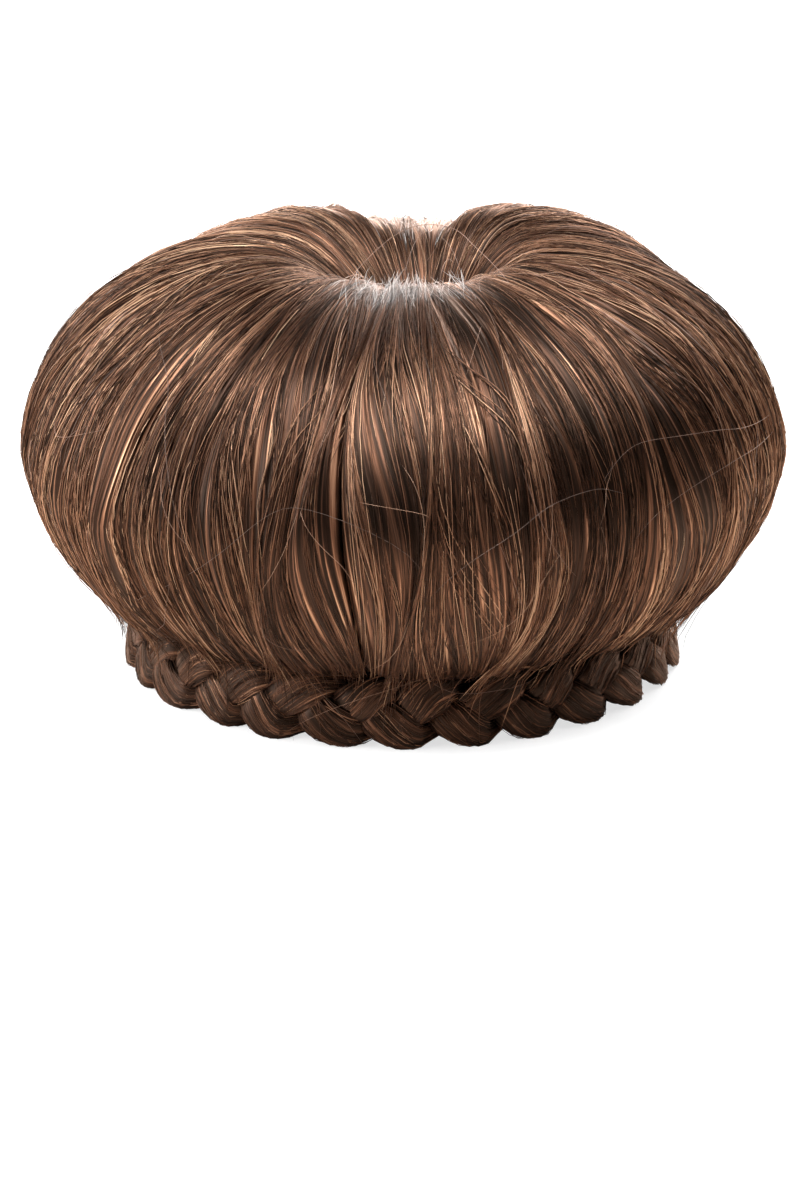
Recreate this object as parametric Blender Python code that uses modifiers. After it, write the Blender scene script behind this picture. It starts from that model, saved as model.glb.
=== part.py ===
"""A top knot hairpiece: a bun of laid hair in sections over a net cap, with a three-strand plait round its foot.

Sizes below are in millimetres. The bun stands on z = 0 with its front towards -Y, and azimuth is
counted in degrees from the front towards +X. Meshes are in metres.
"""

import math

import bpy

MM = 0.001

# The bun's turned form: dimple floor, crest, widest ring and hem
WIDEST_RADIUS = 69.0
WIDEST_HEIGHT = 39.5
CREST_RADIUS = 27.0
CREST_HEIGHT = 76.0
DIMPLE_DEPTH = 24.0
DIMPLE_FLOOR_RADIUS = 2.0
DIMPLE_FULLNESS = 1.2  # more is a wider funnel
WHORL_SHIFT = 4.0  # how far to the right of the middle the hair meets in the dimple
WHORL_FADE = 1.5  # more keeps that shift nearer to the floor
HEM_OVERHANG = 3.8  # how far the hem stands out past the middle of the plait
UPPER_FULLNESS = 1.95  # 2 is an ellipse, more is squarer
LOWER_FULLNESS = 1.6

# The sections of hair
PARTING_DEPTH = 1.8
PARTING_SHARPNESS = 4.5  # more is a narrower groove between fuller sections
PARTING_SKEW = 1.2  # more draws the deepest part of a parting down towards the hem
PARTING_FADE = 0.8  # less lets a parting reach nearer to its two ends
SECTION_PUFF = 2.0  # how far a full section stands out at the widest ring
PUFF_REACH = 4  # in profile steps
SECTION_LIFT = 3.0  # how far a high section stands up at the crest
LIFT_REACH = 3  # in profile steps
HAIR_PAD = 11.0  # hair between the dimple's floor and the cap
HAIR_GAP = 0.3

# The plait round the foot
BRAID_RING_RADIUS = 46.0
BRAID_HEIGHT = 12.6
BRAID_PERIODS = 9
STRAND_WIDTH = 4.5  # up the plait, where the strands cross
STRAND_THICKNESS = 3.5  # through the plait, where the strands cross
STRAND_SQUEEZE = 0.9  # width at the plait's edges, as a share of the width at a crossing
STRAND_SWELL = 1.5  # the same for the thickness, which fills out where nothing presses on it
STRAND_FULLNESS = 2.5
STRAND_GAP = 0.3
WEAVE_ROOM = 1.45  # how far apart crossing strands lie, as a share of what bare tubes would need

# The net cap and the comb
CAP_WALL = 1.8
CAP_FULLNESS = 2.5
COMB_HEIGHT = 4.0  # of the comb's middle above the foot
COMB_THICKNESS = 1.6
COMB_SPINE = 4.0
COMB_HALF_ANGLE = 33.0
COMB_TOOTH_LENGTH = 17.0
COMB_TOOTH_WIDTH = 1.7
COMB_TOOTH_TIP = 0.8
COMB_TEETH = 11

# Mesh density
DIMPLE_STEPS = 4
UPPER_STEPS = 6
LOWER_STEPS = 4
ACROSS_STEPS = 8
EDGE_CROWDING = 0.06  # draws the columns of a section's mesh towards its partings
CAP_SIDES = 28
RINGS_PER_PERIOD = 10
STRAND_SIDES = 8
NORMAL_REACH = 0.25  # steps each way that a surface normal is read over
SHARP_ANGLE = 50.0
FULL_TURN = 360.0

# Each section ends where the next begins. end is an azimuth; puff and lift are shares of
# SECTION_PUFF and SECTION_LIFT.
SECTION_COLUMNS = ("name", "end", "puff", "lift")
SECTIONS = (
    ("hair_front", 30, 0.7, 0.1),
    ("hair_front_right", 72, 0.5, 0.2),
    ("hair_right", 112, 0.6, 0.3),
    ("hair_back_right", 160, 0.6, 1.0),
    ("hair_back", 192, 0.5, -0.4),
    ("hair_back_left", 242, 0.5, 0.6),
    ("hair_left", 280, 0.6, 0.2),
    ("hair_left_front", 316, 0.6, 0.1),
    ("hair_front_left", 352, 0.5, 0.1),
)

# Colour, roughness and metallic value of each material
FINISHES = {
    "hair": ((0.105, 0.052, 0.031, 1.0), 0.42, 0.0),
    "braid_hair": ((0.062, 0.029, 0.019, 1.0), 0.48, 0.0),
    "net": ((0.030, 0.020, 0.016, 1.0), 0.85, 0.0),
    "comb": ((0.045, 0.026, 0.018, 1.0), 0.35, 0.0),
}

# What follows from the sizes
hem_radius = BRAID_RING_RADIUS + HEM_OVERHANG
hem_height = BRAID_HEIGHT + HAIR_GAP
strand_swing = (BRAID_HEIGHT - STRAND_WIDTH * STRAND_SQUEEZE) / 2
strand_weave = (STRAND_THICKNESS + STRAND_GAP) / math.sqrt(3) * WEAVE_ROOM
braid_half_depth = strand_weave + STRAND_THICKNESS * (1 + STRAND_SWELL) / 4
cap_radius = BRAID_RING_RADIUS - braid_half_depth - HAIR_GAP
cap_top = CREST_HEIGHT - DIMPLE_DEPTH - HAIR_PAD
profile_steps = DIMPLE_STEPS + UPPER_STEPS + LOWER_STEPS


def clear_scene():
    for thing in list(bpy.data.objects):
        bpy.data.objects.remove(thing, do_unlink=True)


def make_material(slot):
    colour, roughness, metallic = FINISHES[slot]
    material = bpy.data.materials.new(slot)
    material.use_nodes = True
    shader = material.node_tree.nodes["Principled BSDF"]
    shader.inputs["Base Color"].default_value = colour
    shader.inputs["Roughness"].default_value = roughness
    shader.inputs["Metallic"].default_value = metallic
    material.diffuse_color = colour
    return material


def make_object(name, data, collection, material, parent):
    thing = bpy.data.objects.new(name, data)
    data.materials.append(material)
    collection.objects.link(thing)
    thing.parent = parent
    return thing


def mesh_from(name, points, faces):
    mesh = bpy.data.meshes.new(name)
    mesh.from_pydata([tuple(c * MM for c in p) for p in points], [], faces)
    mesh.shade_smooth()
    mesh.set_sharp_from_angle(angle=math.radians(SHARP_ANGLE))
    return mesh


def quarter(turn, fullness):
    """The two shares of a quarter superellipse, across and along, after this much of a right angle."""
    angle = turn * math.pi / 2
    power = 2 / fullness
    return math.sin(angle) ** power, max(math.cos(angle), 0.0) ** power


def outer_profile(step):
    """Radius and height on the outside of the bun, from the dimple's floor at step 0 to the hem."""
    if step <= DIMPLE_STEPS:
        share = step / DIMPLE_STEPS
        radius = DIMPLE_FLOOR_RADIUS + (CREST_RADIUS - DIMPLE_FLOOR_RADIUS) * share
        drop = (1 - math.sin(share * math.pi / 2)) ** DIMPLE_FULLNESS
        return radius, CREST_HEIGHT - DIMPLE_DEPTH * drop
    step -= DIMPLE_STEPS
    if step <= UPPER_STEPS:
        out, up = quarter(step / UPPER_STEPS, UPPER_FULLNESS)
        radius = CREST_RADIUS + (WIDEST_RADIUS - CREST_RADIUS) * out
        return radius, WIDEST_HEIGHT + (CREST_HEIGHT - WIDEST_HEIGHT) * up
    down, out = quarter((step - UPPER_STEPS) / LOWER_STEPS, LOWER_FULLNESS)
    radius = hem_radius + (WIDEST_RADIUS - hem_radius) * out
    return radius, WIDEST_HEIGHT - (WIDEST_HEIGHT - hem_height) * down


def cap_profile(step, clearance):
    """Radius and height on the cap's dome, from near its top to the height of the hair's hem."""
    out, up = quarter(step / profile_steps, CAP_FULLNESS)
    radius = (cap_radius + clearance) * out
    return radius, hem_height + (cap_top + clearance - hem_height) * up


def profile_normal(step):
    """The direction straight out of the bun's surface at this step, as radius and height."""
    before = outer_profile(max(step - NORMAL_REACH, 0))
    after = outer_profile(min(step + NORMAL_REACH, profile_steps))
    along = (after[0] - before[0], after[1] - before[1])
    length = math.hypot(*along)
    return -along[1] / length, along[0] / length


def near(step, middle, reach):
    """1 at the middle step, falling to nothing a few steps away."""
    return math.exp(-(((step - middle) / reach) ** 2))


def outer_point(step, lobe, puff, lift):
    """A point of a section's outside. lobe is 0 in a parting and 1 in the middle of the section."""
    radius, height = outer_profile(step)
    normal = profile_normal(step)
    share = step / profile_steps
    groove = PARTING_DEPTH * math.sin(math.pi * share**PARTING_SKEW) ** PARTING_FADE * (1 - lobe)
    swell = SECTION_PUFF * puff * lobe * near(step, DIMPLE_STEPS + UPPER_STEPS, PUFF_REACH)
    rise = SECTION_LIFT * lift * lobe * near(step, DIMPLE_STEPS + 1, LIFT_REACH)
    out = swell - groove
    return radius + normal[0] * out, height + normal[1] * out + rise


def section_points(start, end, puff, lift):
    """The outside and inside grids of one section. Its side walls stand half a gap from the partings."""
    outside, inside = [], []
    for step in range(profile_steps + 1):
        inner_radius, inner_height = cap_profile(step, HAIR_GAP)
        inner_radius = max(inner_radius, DIMPLE_FLOOR_RADIUS)
        pull = max(0.0, 1 - step / DIMPLE_STEPS) ** WHORL_FADE * WHORL_SHIFT
        for column in range(ACROSS_STEPS + 1):
            share = column / ACROSS_STEPS
            share -= EDGE_CROWDING * math.sin(2 * math.pi * share)
            lobe = 1 - abs(2 * share - 1) ** PARTING_SHARPNESS
            radius, height = outer_point(step, lobe, puff, lift)
            outside.append(on_ring(radius, height, start, end, share, pull))
            inside.append(on_ring(inner_radius, inner_height, start, end, share, 0.0))
    return outside, inside


def on_ring(radius, height, start, end, share, pull):
    inset = math.degrees(math.asin(HAIR_GAP / 2 / radius))
    azimuth = math.radians(start + inset + (end - start - 2 * inset) * share)
    return radius * math.sin(azimuth) + pull, -radius * math.cos(azimuth), height


def make_section(row, start, collection, material, parent):
    """One closed section: an outer and an inner grid, joined along their four edges."""
    outside, inside = section_points(start, row["end"], row["puff"], row["lift"])
    wide = ACROSS_STEPS + 1
    offset = len(outside)
    last = profile_steps * wide
    faces = []
    for step in range(profile_steps):
        for column in range(ACROSS_STEPS):
            corner = step * wide + column
            ring = (corner, corner + wide, corner + wide + 1, corner + 1)
            faces.append(ring)
            faces.append(tuple(offset + c for c in reversed(ring)))
        first, second = step * wide, (step + 1) * wide
        faces.append((first, offset + first, offset + second, second))
        first, second = first + ACROSS_STEPS, second + ACROSS_STEPS
        faces.append((first, second, offset + second, offset + first))
    for column in range(ACROSS_STEPS):
        faces.append((column, column + 1, offset + column + 1, offset + column))
        foot = last + column
        faces.append((foot, offset + foot, offset + foot + 1, foot + 1))
    mesh = mesh_from(row["name"], outside + inside, faces)
    return make_object(row["name"], mesh, collection, material, parent)


def strand_centre(turn, phase):
    """The middle of a strand: a swing up and down with a weave in and out twice as fast."""
    angle = BRAID_PERIODS * turn + phase
    radius = BRAID_RING_RADIUS + strand_weave * math.sin(2 * angle)
    height = BRAID_HEIGHT / 2 + strand_swing * math.sin(angle)
    return radius, height


def rounded(value):
    """A sine or cosine drawn out so that the oval it makes has the strand's fullness."""
    return math.copysign(abs(value) ** (2 / STRAND_FULLNESS), value)


def make_strand(name, phase, collection, material, parent):
    """One strand, a tube round a closed curve. Its section stays square to the way the strand runs."""
    rings = BRAID_PERIODS * RINGS_PER_PERIOD
    points, faces = [], []
    for ring in range(rings):
        turn = 2 * math.pi * ring / rings
        radius, height = strand_centre(turn, phase)
        angle_along = BRAID_PERIODS * turn + phase
        climb = strand_swing * BRAID_PERIODS * math.cos(angle_along)
        slope = math.atan2(climb, radius)
        edge = math.sin(angle_along) ** 2
        half_width = STRAND_WIDTH / 2 * (1 + (STRAND_SQUEEZE - 1) * edge)
        half_thickness = STRAND_THICKNESS / 2 * (1 + (STRAND_SWELL - 1) * edge)
        for side in range(STRAND_SIDES):
            angle = 2 * math.pi * side / STRAND_SIDES
            out = half_thickness * rounded(math.cos(angle))
            up = half_width * rounded(math.sin(angle))
            shifted = turn - up * math.sin(slope) / radius
            points.append(
                (
                    (radius + out) * math.sin(shifted),
                    -(radius + out) * math.cos(shifted),
                    height + up * math.cos(slope),
                )
            )
            here = ring * STRAND_SIDES + side
            above = ring * STRAND_SIDES + (side + 1) % STRAND_SIDES
            ahead = STRAND_SIDES * ((ring + 1) % rings - ring)
            faces.append((here, here + ahead, above + ahead, above))
    mesh = mesh_from(name, points, faces)
    return make_object(name, mesh, collection, material, parent)


def make_cap(collection, material, parent):
    """The cap: a profile from the dome's top down to the hem and back up inside, turned round the axis."""
    profile = [cap_profile(step, 0.0) for step in range(profile_steps + 1)]
    profile += [(cap_radius, 0.0), (cap_radius - CAP_WALL, 0.0)]
    inner = [cap_profile(step, -CAP_WALL) for step in range(profile_steps, -1, -1)]
    profile += inner
    mesh = bpy.data.meshes.new("foundation_cap")
    edges = [(i, i + 1) for i in range(len(profile) - 1)]
    mesh.from_pydata([(r * MM, 0.0, z * MM) for r, z in profile], edges, [])
    cap = make_object("foundation_cap", mesh, collection, material, parent)
    screw = cap.modifiers.new("turned", "SCREW")
    screw.steps = CAP_SIDES
    screw.render_steps = CAP_SIDES
    screw.use_merge_vertices = True
    screw.merge_threshold = 0.00002
    screw.use_smooth_shade = True
    return cap


def comb_outline():
    """The comb from above: a spine that follows the cap's wall, with teeth pointing back into the cap."""
    back = cap_radius - CAP_WALL - HAIR_GAP
    root = back - COMB_SPINE
    half = math.radians(COMB_HALF_ANGLE)
    count = 4 * COMB_TEETH
    angles = [half * (2 * i / count - 1) for i in range(count + 1)]
    outline = [(back * math.sin(a), -back * math.cos(a)) for a in angles]
    reach = root * math.sin(half) - COMB_TOOTH_WIDTH / 2
    for tooth in range(COMB_TEETH):
        middle = reach * (1 - 2 * tooth / (COMB_TEETH - 1))
        for width, end in (
            (COMB_TOOTH_WIDTH, 0.0),
            (COMB_TOOTH_TIP, COMB_TOOTH_LENGTH),
            (-COMB_TOOTH_TIP, COMB_TOOTH_LENGTH),
            (-COMB_TOOTH_WIDTH, 0.0),
        ):
            x = middle + width / 2
            outline.append((x, -math.sqrt(root**2 - x**2) + end))
    return outline


def make_comb(collection, material, parent):
    curve = bpy.data.curves.new("comb", "CURVE")
    curve.dimensions = "2D"
    curve.fill_mode = "BOTH"
    curve.extrude = COMB_THICKNESS / 2 * MM
    outline = comb_outline()
    spline = curve.splines.new("POLY")
    spline.points.add(len(outline) - 1)
    for point, (x, y) in zip(spline.points, outline):
        point.co = (x * MM, y * MM, 0.0, 1.0)
    spline.use_cyclic_u = True
    comb = make_object("comb", curve, collection, material, parent)
    comb.location.z = COMB_HEIGHT * MM
    return comb


def main():
    clear_scene()
    collection = bpy.data.collections.new("top_knot_hairpiece")
    bpy.context.scene.collection.children.link(collection)
    foot = bpy.data.objects.new("foot", None)
    collection.objects.link(foot)
    materials = {slot: make_material(slot) for slot in FINISHES}
    rows = [dict(zip(SECTION_COLUMNS, row)) for row in SECTIONS]
    start = rows[-1]["end"] - FULL_TURN
    for row in rows:
        make_section(row, start, collection, materials["hair"], foot)
        start = row["end"]
    for index, letter in enumerate("abc"):
        phase = 2 * math.pi * index / 3
        name = f"braid_strand_{letter}"
        make_strand(name, phase, collection, materials["braid_hair"], foot)
    make_cap(collection, materials["net"], foot)
    make_comb(collection, materials["comb"], foot)


main()
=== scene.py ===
import math

import bpy
import numpy as np
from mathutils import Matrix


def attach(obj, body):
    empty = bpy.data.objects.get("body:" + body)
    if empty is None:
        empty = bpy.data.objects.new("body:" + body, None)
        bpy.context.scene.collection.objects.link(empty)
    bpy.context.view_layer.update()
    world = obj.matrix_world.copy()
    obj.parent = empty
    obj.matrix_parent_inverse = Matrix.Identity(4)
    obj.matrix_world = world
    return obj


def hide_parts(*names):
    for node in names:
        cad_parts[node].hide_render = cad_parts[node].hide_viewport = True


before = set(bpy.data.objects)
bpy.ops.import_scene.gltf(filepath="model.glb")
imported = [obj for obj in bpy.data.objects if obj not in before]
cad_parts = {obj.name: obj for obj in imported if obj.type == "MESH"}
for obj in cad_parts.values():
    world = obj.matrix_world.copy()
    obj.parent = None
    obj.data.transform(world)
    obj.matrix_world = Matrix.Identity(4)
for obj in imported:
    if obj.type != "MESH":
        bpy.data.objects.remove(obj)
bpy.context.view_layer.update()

mm = 0.001
overFloor = 0.2  # millimetres; no loose hair goes lower
print("frame loaded:", len(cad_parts), "nodes")


# The camera and the studio

camera = {
    "elevation": 17.4,  # of the sight line to the middle of the bun, in degrees
    "distance": 0.6185,  # metres from the middle of the bun
    "middle": (0.0, 0.0, 0.038),
    "aimBelow": 2.53,  # the picture's middle lies this many degrees below the bun's
    "aimLeft": 0.043,
    "lens": 100.4,
}


def newObject(name, data):
    thing = bpy.data.objects.new(name, data)
    bpy.context.scene.collection.objects.link(thing)
    return thing


def makeCamera():
    # stands back from the bun's middle along the sight line and is aimed a little below it
    data = bpy.data.cameras.new("camera")
    data.lens = camera["lens"]
    thing = newObject("camera", data)
    rise = math.radians(camera["elevation"])
    x, y, z = camera["middle"]
    thing.location = (x, y - camera["distance"] * math.cos(rise), z + camera["distance"] * math.sin(rise))
    pitch = 90 - camera["elevation"] - camera["aimBelow"]
    thing.rotation_euler = (math.radians(pitch), 0.0, math.radians(camera["aimLeft"]))
    bpy.context.scene.camera = thing


# Each panel's name, place, the point it faces, its width and height in metres, and its radiance
panels = (
    ("panelAbove", (-0.05, -0.33, 0.98), (0.0, 0.0, 0.04), (1.2, 0.44), 18.0),
    ("panelBehind", (0.0, 1.0, 0.32), (0.0, 0.0, 0.07), (1.8, 0.54), 10.0),
    ("panelLeftBehind", (-0.62, 0.62, 0.52), (0.0, 0.0, 0.05), (0.7, 0.45), 7.5),
    ("panelRightBehind", (0.50, 0.56, 0.62), (0.0, 0.0, 0.05), (0.6, 0.4), 13.0),
    ("panelLeft", (-0.85, -0.25, 0.42), (0.0, 0.0, 0.04), (0.6, 0.7), 10.0),
)
white = (1.0, 1.0, 1.0, 1.0)
studio = {
    "sky": 0.05,
    "backdrop": 1.0,
    "floorSize": 6.0,
    "floorColour": (0.34, 0.34, 0.34, 1.0),
    "floorRoughness": 0.9,
    "floorGlow": 0.70,
    "bounceColour": (0.80, 0.69, 0.60, 1.0),
}


def makePanels():
    # an area light's power is radiance times area times pi
    for name, place, facing, size, radiance in panels:
        data = bpy.data.lights.new(name, "AREA")
        data.shape = "RECTANGLE"
        data.size, data.size_y = size
        data.energy = radiance * data.size * data.size_y * math.pi
        thing = newObject(name, data)
        x, y, z = (f - p for f, p in zip(facing, place))
        thing.location = place
        thing.rotation_euler = (math.atan2(math.hypot(x, y), -z), 0.0, math.atan2(-x, y))
        thing.visible_camera = False


def addNode(tree, kind, settings=None, inputs=None):
    # a node of this kind, with its settings and the values of its inputs
    node = tree.nodes.new("ShaderNode" + kind)
    for name, value in (settings or {}).items():
        setattr(node, name, value)
    for name, value in (inputs or {}).items():
        node.inputs[name].default_value = value
    return node


def join(source, output, target, socket):
    # leads one node's output to another's input
    source.id_data.links.new(source.outputs[output], target.inputs[socket])


def newMaterial(name, values):
    # a material whose main shader has these values, with its tree and that shader
    material = bpy.data.materials.new(name)
    material.use_nodes = True
    shader = material.node_tree.nodes["Principled BSDF"]
    for socket, value in values.items():
        shader.inputs[socket].default_value = value
    return material, material.node_tree, shader


def mixForCamera(tree, seen, unseen, end):
    # the camera sees one shader directly, and all other light meets the other
    mix = addNode(tree, "MixShader")
    join(addNode(tree, "LightPath"), "Is Camera Ray", mix, "Fac")
    join(unseen, 0, mix, 1)
    join(seen, 0, mix, 2)
    join(mix, "Shader", end, "Surface")


def makeSky():
    # white behind everything that the camera sees directly, and a dim even sky for the light
    world = bpy.data.worlds.new("sky")
    bpy.context.scene.world = world
    world.use_nodes = True
    tree = world.node_tree
    tree.nodes.clear()
    end = addNode(tree, "OutputWorld")
    seen = addNode(tree, "Background", inputs={"Strength": studio["backdrop"], "Color": white})
    unseen = addNode(tree, "Background", inputs={"Strength": studio["sky"], "Color": white})
    mixForCamera(tree, seen, unseen, end)


def makeFloor():
    # pale where it is seen; a dimmer, warmer floor lights the hair from below
    half = studio["floorSize"] / 2
    corners = [(-half, -half, 0.0), (half, -half, 0.0), (half, half, 0.0), (-half, half, 0.0)]
    mesh = bpy.data.meshes.new("floor")
    mesh.from_pydata(corners, [], [(0, 1, 2, 3)])
    thing = newObject("floor", mesh)
    values = {
        "Base Color": studio["floorColour"],
        "Roughness": studio["floorRoughness"],
        "Emission Color": white,
        "Emission Strength": studio["floorGlow"],
    }
    material, tree, shader = newMaterial("paleFloor", values)
    bounce = addNode(tree, "BsdfDiffuse", inputs={"Color": studio["bounceColour"]})
    mixForCamera(tree, shader, bounce, tree.nodes["Material Output"])
    mesh.materials.append(material)


makeCamera()
makePanels()
makeSky()
makeFloor()
bpy.context.scene.view_settings.view_transform = "Standard"
print("camera and studio ready")


# The bun's form: the same turned profile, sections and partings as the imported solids, in millimetres

bun = {
    "widestRadius": 69.0,
    "widestHeight": 39.5,
    "crestRadius": 27.0,
    "crestHeight": 76.0,
    "dimpleDepth": 24.0,
    "dimpleRadius": 2.0,
    "dimpleFullness": 1.2,
    "whorlShift": 4.0,
    "whorlFade": 1.5,
    "whorlClosing": (1.7, 7.0, 1.5),  # the hair draws in this much over its first stretch, and the power
    "hemRadius": 49.8,
    "hemHeight": 12.9,
    "upperFullness": 1.95,
    "lowerFullness": 1.6,
    "partingDepth": 1.4,
    "partingSharpness": 4.5,
    "partingSkew": 1.2,
    "partingFade": 0.8,
    "drift": (1.4, 118.0, 3, 1.19, 40.0),  # degrees, a wave's length, turns, start, and the run of full drift
    "puff": 2.0,
    "puffReach": 4,
    "lift": 3.0,
    "liftReach": 3,
    "dimpleSteps": 4,
    "upperSteps": 6,
    "lowerSteps": 4,
    "gap": 0.3,
}
# Each section's node, the azimuth where it ends, and its shares of puff and lift
sections = (
    ("hair_front", 30, 0.7, 0.1),
    ("hair_front_right", 72, 0.5, 0.2),
    ("hair_right", 112, 0.6, 0.3),
    ("hair_back_right", 160, 0.6, 1.0),
    ("hair_back", 192, 0.5, -0.4),
    ("hair_back_left", 242, 0.5, 0.6),
    ("hair_left", 280, 0.6, 0.2),
    ("hair_left_front", 316, 0.6, 0.1),
    ("hair_front_left", 352, 0.5, 0.1),
)
sectionNodes = [row[0] for row in sections]
sectionEnds, sectionPuffs, sectionLifts = np.array([row[1:] for row in sections], float).T
firstParting = sectionEnds[-1] - 360
sectionStarts = np.concatenate([[firstParting], sectionEnds[:-1]])
allSteps = bun["dimpleSteps"] + bun["upperSteps"] + bun["lowerSteps"]


def quarter(turn, fullness):
    # a quarter superellipse: sine and cosine of the turn, each to the power 2 / fullness
    angle = np.clip(turn, 0, 1) * np.pi / 2
    return np.sin(angle) ** (2 / fullness), np.cos(angle).clip(0) ** (2 / fullness)


def profileAt(step):
    # a funnel up to the crest, one quarter superellipse out to the widest ring, another in to the hem
    share = np.clip(step / bun["dimpleSteps"], 0, 1)
    funnelRadius = bun["dimpleRadius"] + (bun["crestRadius"] - bun["dimpleRadius"]) * share
    drop = (1 - np.sin(share * np.pi / 2)).clip(0) ** bun["dimpleFullness"]
    funnelHeight = bun["crestHeight"] - bun["dimpleDepth"] * drop
    step = step - bun["dimpleSteps"]
    out, up = quarter(step / bun["upperSteps"], bun["upperFullness"])
    upperRadius = bun["crestRadius"] + (bun["widestRadius"] - bun["crestRadius"]) * out
    upperHeight = bun["widestHeight"] + (bun["crestHeight"] - bun["widestHeight"]) * up
    down, left = quarter((step - bun["upperSteps"]) / bun["lowerSteps"], bun["lowerFullness"])
    lowerRadius = bun["hemRadius"] + (bun["widestRadius"] - bun["hemRadius"]) * left
    lowerHeight = bun["widestHeight"] - (bun["widestHeight"] - bun["hemHeight"]) * down
    onTop, above = step <= 0, step <= bun["upperSteps"]
    radius = np.where(onTop, funnelRadius, np.where(above, upperRadius, lowerRadius))
    height = np.where(onTop, funnelHeight, np.where(above, upperHeight, lowerHeight))
    return radius, height


# The profile by its length: run is the millimetres along the hair from the dimple's floor
fineSteps = np.linspace(0, allSteps, 2801)
fineRadius, fineHeight = profileAt(fineSteps)
fineRun = np.concatenate([[0], np.cumsum(np.hypot(np.diff(fineRadius), np.diff(fineHeight)))])
bunRun = fineRun[-1]
crestRun = np.interp(bun["dimpleSteps"], fineSteps, fineRun)
evenRun = np.linspace(0, bunRun, 701)
evenStep = np.interp(evenRun, fineRun, fineSteps)
evenRadius, evenHeight = profileAt(evenStep)
evenOut = np.stack([-np.gradient(evenHeight), np.gradient(evenRadius)], -1)
evenOut /= np.linalg.norm(evenOut, axis=1, keepdims=True)


def near(step, middle, reach):
    # 1 at the middle, falling away as a bell curve
    return np.exp(-(((step - middle) / reach) ** 2))


def smoothShare(value):
    # 0 below 0, 1 above 1, and v v (3 - 2 v) between
    value = np.clip(value, 0, 1)
    return value * value * (3 - 2 * value)


def turnedInto(azimuth):
    # the same azimuth, counted on from the first parting
    return (azimuth - firstParting) % 360 + firstParting


def sectionShare(azimuth):
    # which section an azimuth lies in, and how far across it, from 0 to 1
    turned = turnedInto(azimuth)
    index = np.searchsorted(sectionEnds, turned, "right").clip(0, len(sections) - 1)
    start, end = sectionStarts[index], sectionEnds[index]
    return index, (turned - start) / (end - start)


def driftAt(azimuth, run):
    # the partings wander a little: one slow wave along the hair, which turns with the azimuth
    degrees, length, turns, start, full = bun["drift"]
    wave = np.sin(2 * np.pi * run / length + np.radians(turns * azimuth) + start)
    return degrees * wave * smoothShare(run / full)


def turnedPoint(radius, angle, height):
    # the point at this radius, angle from the front and height
    return np.stack(np.broadcast_arrays(radius * np.sin(angle), -radius * np.cos(angle), height), -1)


def bunPoint(azimuth, run, lift):
    # the profile turned to the azimuth, less the parting's groove, plus the section's puff and lift,
    # plus lift along the normal; near the dimple's floor all of it is drawn towards the whorl
    azimuth, run, lift = np.broadcast_arrays(azimuth, run, lift)
    step, radius, height = (np.interp(run, evenRun, even) for even in (evenStep, evenRadius, evenHeight))
    outAcross, outUp = (np.interp(run, evenRun, even) for even in evenOut.T)
    index, share = sectionShare(azimuth)
    lobe = 1 - np.abs(2 * share - 1) ** bun["partingSharpness"]
    along = np.clip(step / allSteps, 0, 1)
    groove = bun["partingDepth"] * np.sin(np.pi * along ** bun["partingSkew"]).clip(0) ** bun["partingFade"]
    atWidest = near(step, bun["dimpleSteps"] + bun["upperSteps"], bun["puffReach"])
    atCrest = near(step, bun["dimpleSteps"] + 1, bun["liftReach"])
    swell = bun["puff"] * sectionPuffs[index] * lobe * atWidest
    rise = bun["lift"] * sectionLifts[index] * lobe * atCrest
    out = swell - groove * (1 - lobe) + lift
    drawn, stretch, power = bun["whorlClosing"]
    radius = radius + outAcross * out - drawn * (1 - run / stretch).clip(0) ** power
    point = turnedPoint(radius, np.radians(azimuth + driftAt(azimuth, run)), height + outUp * out + rise)
    point[..., 0] += (1 - step / bun["dimpleSteps"]).clip(0) ** bun["whorlFade"] * bun["whorlShift"]
    return point * mm


def bunOut(azimuth, run):
    # the direction straight out of the turned profile
    azimuth, run = np.broadcast_arrays(azimuth, run)
    across, up = (np.interp(run, evenRun, even) for even in evenOut.T)
    return turnedPoint(across, np.radians(azimuth + driftAt(azimuth, run)), up)


# How the hair is combed: locks, tresses and the way they bend. Label is the azimuth a hair would have
# if it were not bent, so one hair keeps one label from the dimple to the hem.

combing = {
    "lockWidth": 8.0,
    "lockUnevenness": 0.34,
    "lockDepth": 0.75,
    "lockRoundness": 2.6,
    "lockRise": (-0.1, 0.5),
    "lockWaviness": 0.35,
    "lockTone": 0.05,
    "tressWidth": 1.3,
    "tressUnevenness": 0.38,
    "tressDepth": 0.12,
    "tressRoundness": 2.0,
    "tressWaviness": 0.13,
    "tressTone": 0.065,
    "knotSpacing": 11.0,  # how often a lock or tress rises or sinks along its length
    "bend": 1.5,  # degrees
    "bendFade": 5,  # the power with which the bending fades towards a parting
    "calmTop": 42.0,
    "calmHem": 16.0,
    "hemCalm": 0.3,  # the share of the relief that is left at the hem
    "calmRadius": 40.0,
    "sunk": 0.7,  # the combed hair lies this far inside the solids, so that loose strands end at them
}
rng = np.random.default_rng(7)


def cutEdges(width, unevenness):
    # cuts each section at the widest ring into bits of about this width, with uneven borders
    edges = []
    for start, end in zip(sectionStarts, sectionEnds):
        count = max(2, round((end - start) * math.pi / 180 * bun["widestRadius"] / width))
        inner = np.arange(1, count) + rng.uniform(-unevenness, unevenness, count - 1)
        edges += [start, *(start + (end - start) * inner / count)]
    return np.array([*edges, sectionEnds[-1]])


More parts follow.
